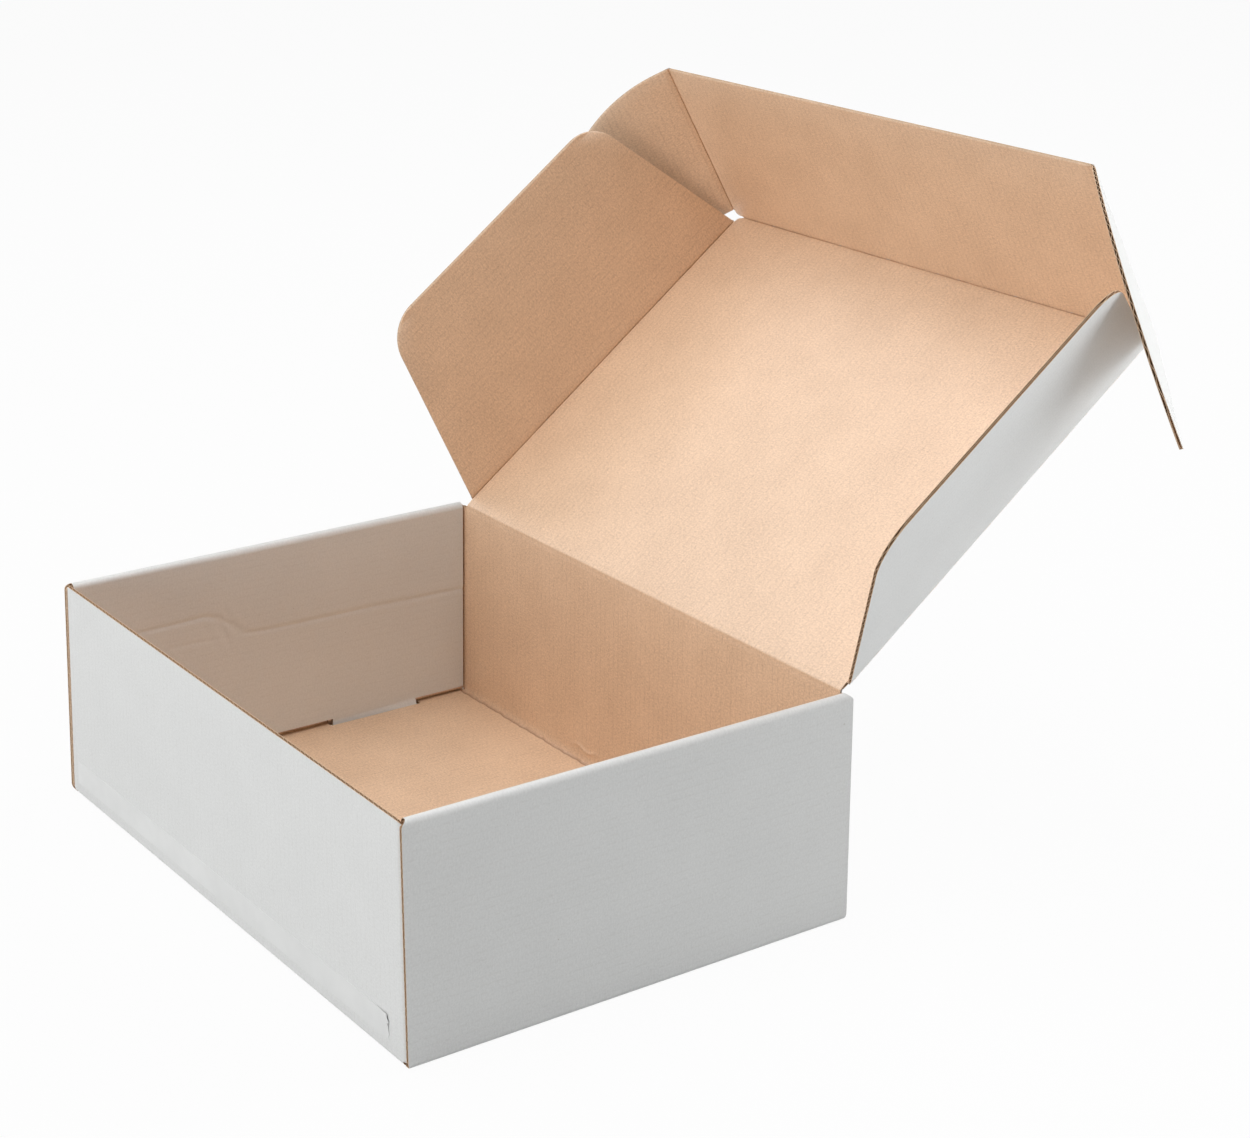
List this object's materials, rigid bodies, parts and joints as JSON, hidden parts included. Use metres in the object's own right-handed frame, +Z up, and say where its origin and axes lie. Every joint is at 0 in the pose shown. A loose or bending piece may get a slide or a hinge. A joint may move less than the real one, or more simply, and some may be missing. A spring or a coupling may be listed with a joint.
{
  "type": "mailer box",
  "caption": "Open tuck-front mailer box of thin corrugated board, white outside and brown inside, with rolled double side walls and a hinged lid with tuck flap, side flaps and ears.",
  "frame": {"origin": "centre of the tray's underside", "axes": "+Z up, the front wall looks towards -Y, X runs along the front wall"},
  "size_m": [0.3884, 0.3717, 0.2992],
  "materials": {
    "board": "matte kraft inside, white liner outside",
    "strip": "smooth white"
  },
  "bodies": {
    "tray": {"tray": "board", "tape_strip": "strip"},
    "lid": {"lid_panel": "board"},
    "tuck_flap": {"tuck_flap": "board"},
    "left_side_flap": {"left_side_flap": "board"},
    "right_side_flap": {"right_side_flap": "board"},
    "left_ear": {"left_ear": "board"},
    "right_ear": {"right_ear": "board"}
  },
  "joints": [
    {"name": "lid_crease", "type": "hinge", "parent": "tray", "child": "lid", "pos_m": [0, 0.10375, 0.09925], "axis": [-1, 0, 0], "range_deg": [-65, 37]},
    {"name": "tuck_flap_crease", "type": "hinge", "parent": "lid", "child": "tuck_flap", "pos_m": [0, 0.26635, 0.22178], "axis": [-1, 0, 0], "range_deg": [-1, 83]},
    {"name": "left_side_flap_crease", "type": "hinge", "parent": "lid", "child": "left_side_flap", "pos_m": [-0.14056, 0.10375, 0.09925], "axis": [0, -0.7986, -0.6018], "range_deg": [-13, 9]},
    {"name": "right_side_flap_crease", "type": "hinge", "parent": "lid", "child": "right_side_flap", "pos_m": [0.14056, 0.10375, 0.09925], "axis": [0, 0.7986, 0.6018], "range_deg": [-38, 0]},
    {"name": "left_ear_crease", "type": "hinge", "parent": "tuck_flap", "child": "left_ear", "pos_m": [-0.14221, 0.26635, 0.22178], "axis": [0, 0.5, -0.866], "range_deg": [-16, 62]},
    {"name": "right_ear_crease", "type": "hinge", "parent": "tuck_flap", "child": "right_ear", "pos_m": [0.14221, 0.26635, 0.22178], "axis": [0, -0.5, 0.866], "range_deg": [0, 41]}
  ]
}
